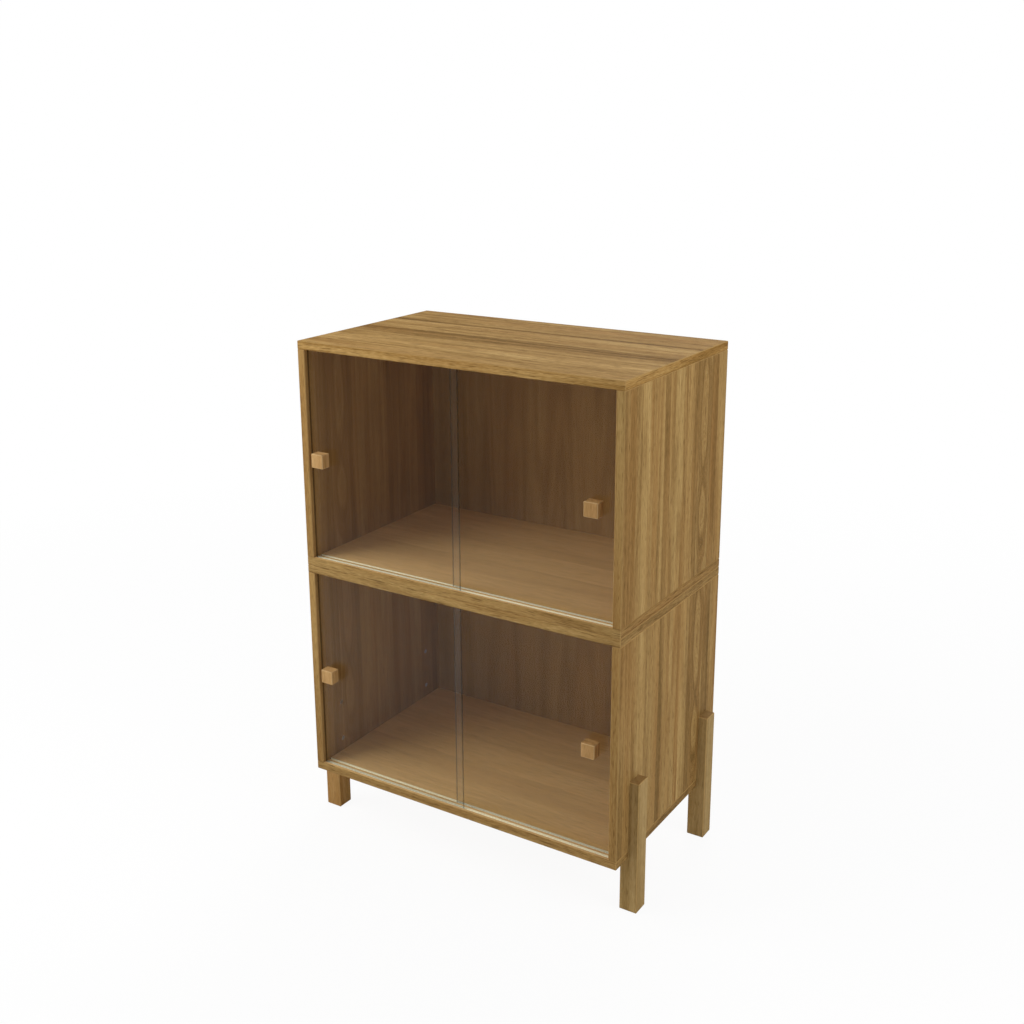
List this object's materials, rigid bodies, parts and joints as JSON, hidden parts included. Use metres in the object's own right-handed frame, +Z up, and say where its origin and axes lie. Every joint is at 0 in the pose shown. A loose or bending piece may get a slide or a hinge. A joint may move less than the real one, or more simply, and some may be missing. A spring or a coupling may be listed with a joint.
{
  "type": "record cabinet",
  "caption": "Stacked wooden record cabinet with sliding glass doors and cube knobs, on square legs lapped up its sides.",
  "frame": {"origin": "bottom centre of the whole object's box, on the floor", "axes": "+Z up, -Y towards the front with the doors, +X to the right seen from the front"},
  "size_m": [0.666, 0.39, 0.914],
  "materials": {
    "carcass_wood": "oiled, open straight grain in wide staves",
    "back_wood": "thin veneered ply",
    "leg_wood": "oiled solid wood, straight grain",
    "knob_wood": "oiled solid wood, fine grain",
    "dowel_wood": "plain beech",
    "door_glass": "clear polished float glass",
    "door_track": "smooth cream extrusion",
    "screw_steel": "zinc plated",
    "washer_plastic": "natural nylon"
  },
  "bodies": {
    "cabinet": {"upper_top_board": "carcass_wood", "upper_bottom_board": "carcass_wood", "upper_left_side": "carcass_wood", "upper_right_side": "carcass_wood", "upper_back_panel": "back_wood", "upper_dowels": "dowel_wood", "upper_back_screws": "screw_steel", "upper_bottom_front_track": "door_track", "upper_bottom_rear_track": "door_track", "upper_top_front_track": "door_track", "upper_top_rear_track": "door_track", "lower_top_board": "carcass_wood", "lower_bottom_board": "carcass_wood", "lower_left_side": "carcass_wood", "lower_right_side": "carcass_wood", "lower_back_panel": "back_wood", "lower_dowels": "dowel_wood", "lower_back_screws": "screw_steel", "lower_bottom_front_track": "door_track", "lower_bottom_rear_track": "door_track", "lower_top_front_track": "door_track", "lower_top_rear_track": "door_track", "stacking_dowels": "dowel_wood", "leg_screws": "screw_steel", "front_left_leg": "leg_wood", "front_right_leg": "leg_wood", "rear_left_leg": "leg_wood", "rear_right_leg": "leg_wood"},
    "upper_left_door": {"upper_left_pane": "door_glass", "upper_left_knob": "knob_wood", "upper_left_knob_screw": "screw_steel", "upper_left_knob_washer": "washer_plastic"},
    "upper_right_door": {"upper_right_pane": "door_glass", "upper_right_knob": "knob_wood", "upper_right_knob_screw": "screw_steel", "upper_right_knob_washer": "washer_plastic"},
    "lower_left_door": {"lower_left_pane": "door_glass", "lower_left_knob": "knob_wood", "lower_left_knob_screw": "screw_steel", "lower_left_knob_washer": "washer_plastic"},
    "lower_right_door": {"lower_right_pane": "door_glass", "lower_right_knob": "knob_wood", "lower_right_knob_screw": "screw_steel", "lower_right_knob_washer": "washer_plastic"}
  },
  "joints": [
    {"name": "upper_left_door_slide", "type": "slide", "parent": "cabinet", "child": "upper_left_door", "axis": [1, 0, 0], "range_m": [0, 0.118]},
    {"name": "upper_right_door_slide", "type": "slide", "parent": "cabinet", "child": "upper_right_door", "axis": [1, 0, 0], "range_m": [-0.118, 0]},
    {"name": "lower_left_door_slide", "type": "slide", "parent": "cabinet", "child": "lower_left_door", "axis": [1, 0, 0], "range_m": [0, 0.118]},
    {"name": "lower_right_door_slide", "type": "slide", "parent": "cabinet", "child": "lower_right_door", "axis": [1, 0, 0], "range_m": [-0.118, 0]}
  ]
}
